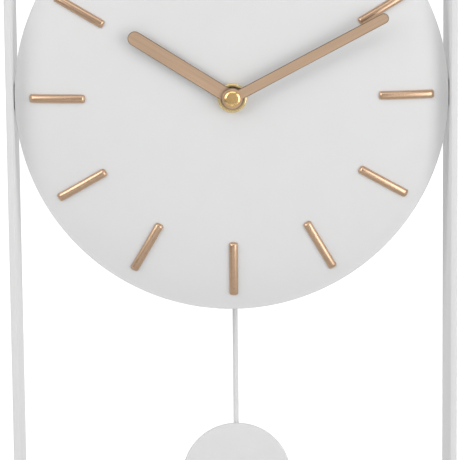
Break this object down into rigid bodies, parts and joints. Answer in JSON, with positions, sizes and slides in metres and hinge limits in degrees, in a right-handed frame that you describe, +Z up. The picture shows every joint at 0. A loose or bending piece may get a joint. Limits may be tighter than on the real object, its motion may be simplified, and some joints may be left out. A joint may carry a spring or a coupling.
{
  "type": "pendulum wall clock",
  "caption": "Wall clock with a domed round dial held in a tall steel loop, baton hour markers, hour and minute hands, a quartz movement and a disc pendulum hanging below the dial.",
  "frame": {"origin": "on the wall plane, on the hanger plate just under its keyhole, in the clock's middle", "axes": "+Z up along the loop, +Y into the wall, the dial faces -Y, +X to the right seen from the front"},
  "size_m": [0.2, 0.0475, 0.5],
  "materials": {
    "white_powder_coat": "fine matt white powder coat",
    "white_dial": "matt white enamel on pressed sheet",
    "rose_gold_polished": "polished rose gold plate",
    "rose_gold_brushed": "brushed rose gold anodising",
    "brass": "polished brass",
    "zinc_steel": "zinc plated",
    "black_rubber": "matt",
    "black_abs": "moulded, fine texture",
    "natural_pom": "moulded acetal",
    "soft_iron": "bare lamination",
    "copper_wire": "enamelled copper winding",
    "circuit_green": "solder mask",
    "magnet_nickel": "nickel plated",
    "battery_sleeve": "plain printed sleeve, no marks"
  },
  "bodies": {
    "frame": {"frame_band": "white_powder_coat", "hanger_plate": "white_powder_coat", "side_screw_left": "white_powder_coat", "side_screw_right": "white_powder_coat", "dial_plate": "white_dial", "marker_01": "rose_gold_polished", "marker_02": "rose_gold_polished", "marker_03": "rose_gold_polished", "marker_04": "rose_gold_polished", "marker_05": "rose_gold_polished", "marker_06": "rose_gold_polished", "marker_07": "rose_gold_polished", "marker_08": "rose_gold_polished", "marker_09": "rose_gold_polished", "marker_10": "rose_gold_polished", "marker_11": "rose_gold_polished", "marker_12": "rose_gold_polished", "brass_washer": "brass", "mounting_nut": "brass", "side_bracket_left": "zinc_steel", "side_bracket_right": "zinc_steel", "side_nut_left": "zinc_steel", "side_nut_right": "zinc_steel", "cover_screw_left": "zinc_steel", "cover_screw_right": "zinc_steel", "pivot_pin": "zinc_steel", "contact_positive": "zinc_steel", "contact_negative": "zinc_steel", "rubber_washer": "black_rubber", "movement_case": "black_abs", "rear_cover": "black_abs", "pendulum_housing": "black_abs", "train_bridge": "natural_pom", "stator": "soft_iron", "motor_coil": "copper_wire", "pendulum_coil": "copper_wire", "circuit_board": "circuit_green", "quartz_crystal": "magnet_nickel", "battery": "battery_sleeve"},
    "minute_hand_set": {"cannon_pinion": "zinc_steel", "minute_hand": "rose_gold_brushed", "centre_cap": "brass"},
    "hour_hand_set": {"hour_wheel": "natural_pom", "hour_hand": "rose_gold_brushed"},
    "minute_work": {"minute_work_wheel": "natural_pom"},
    "time_setter": {"setting_knob": "black_abs"},
    "centre_wheel_set": {"centre_wheel": "natural_pom"},
    "third_wheel_set": {"third_wheel": "natural_pom"},
    "fourth_wheel_set": {"fourth_wheel": "natural_pom"},
    "fifth_wheel_set": {"fifth_wheel": "natural_pom"},
    "rotor_set": {"stepping_rotor": "magnet_nickel"},
    "pendulum": {"swing_arm": "natural_pom", "arm_magnet": "magnet_nickel", "pendulum_rod": "white_powder_coat", "pendulum_bob": "white_powder_coat", "bob_clip": "natural_pom"}
  },
  "joints": [
    {"name": "minute_hand_turn", "type": "hinge", "parent": "frame", "child": "minute_hand_set", "pos_m": [0, -0.0452, -0.164], "axis": [0, 1, 0], "continuous": true},
    {"name": "hour_hand_turn", "type": "hinge", "parent": "frame", "child": "hour_hand_set", "pos_m": [0, -0.0437, -0.164], "axis": [0, 1, 0], "continuous": true},
    {"name": "minute_work_turn", "type": "hinge", "parent": "frame", "child": "minute_work", "pos_m": [-0.01, -0.0334, -0.164], "axis": [0, 1, 0], "continuous": true},
    {"name": "setting_knob_turn", "type": "hinge", "parent": "frame", "child": "time_setter", "pos_m": [-0.02125, -0.0154, -0.164], "axis": [0, 1, 0], "continuous": true},
    {"name": "fourth_wheel_turn", "type": "hinge", "parent": "frame", "child": "fourth_wheel_set", "pos_m": [0.01516, -0.0285, -0.15751], "axis": [0, 1, 0], "continuous": true},
    {"name": "centre_wheel_turn", "type": "hinge", "parent": "frame", "child": "centre_wheel_set", "pos_m": [0, -0.0315, -0.164], "axis": [0, 1, 0], "continuous": true},
    {"name": "third_wheel_turn", "type": "hinge", "parent": "frame", "child": "third_wheel_set", "pos_m": [0.00649, -0.0299, -0.15751], "axis": [0, 1, 0], "continuous": true},
    {"name": "fifth_wheel_turn", "type": "hinge", "parent": "frame", "child": "fifth_wheel_set", "pos_m": [0.0195, -0.0315, -0.16502], "axis": [0, 1, 0], "continuous": true},
    {"name": "rotor_turn", "type": "hinge", "parent": "frame", "child": "rotor_set", "pos_m": [0.0195, -0.0291, -0.17252], "axis": [0, 1, 0], "continuous": true},
    {"name": "pendulum_swing", "type": "hinge", "parent": "frame", "child": "pendulum", "pos_m": [0.0008, -0.0135, -0.142], "axis": [0, 1, 0], "range_deg": [-10, 10]}
  ],
  "couplings": [
    {"joint": "hour_hand_turn", "follows": "minute_hand_turn", "ratio": 0.083333},
    {"joint": "minute_work_turn", "follows": "minute_hand_turn", "ratio": -0.33333},
    {"joint": "setting_knob_turn", "follows": "minute_hand_turn", "ratio": 0.66667},
    {"joint": "third_wheel_turn", "follows": "fourth_wheel_turn", "ratio": -0.13333},
    {"joint": "centre_wheel_turn", "follows": "fourth_wheel_turn", "ratio": 0.016667},
    {"joint": "fifth_wheel_turn", "follows": "fourth_wheel_turn", "ratio": -7.5},
    {"joint": "rotor_turn", "follows": "fourth_wheel_turn", "ratio": 30}
  ]
}
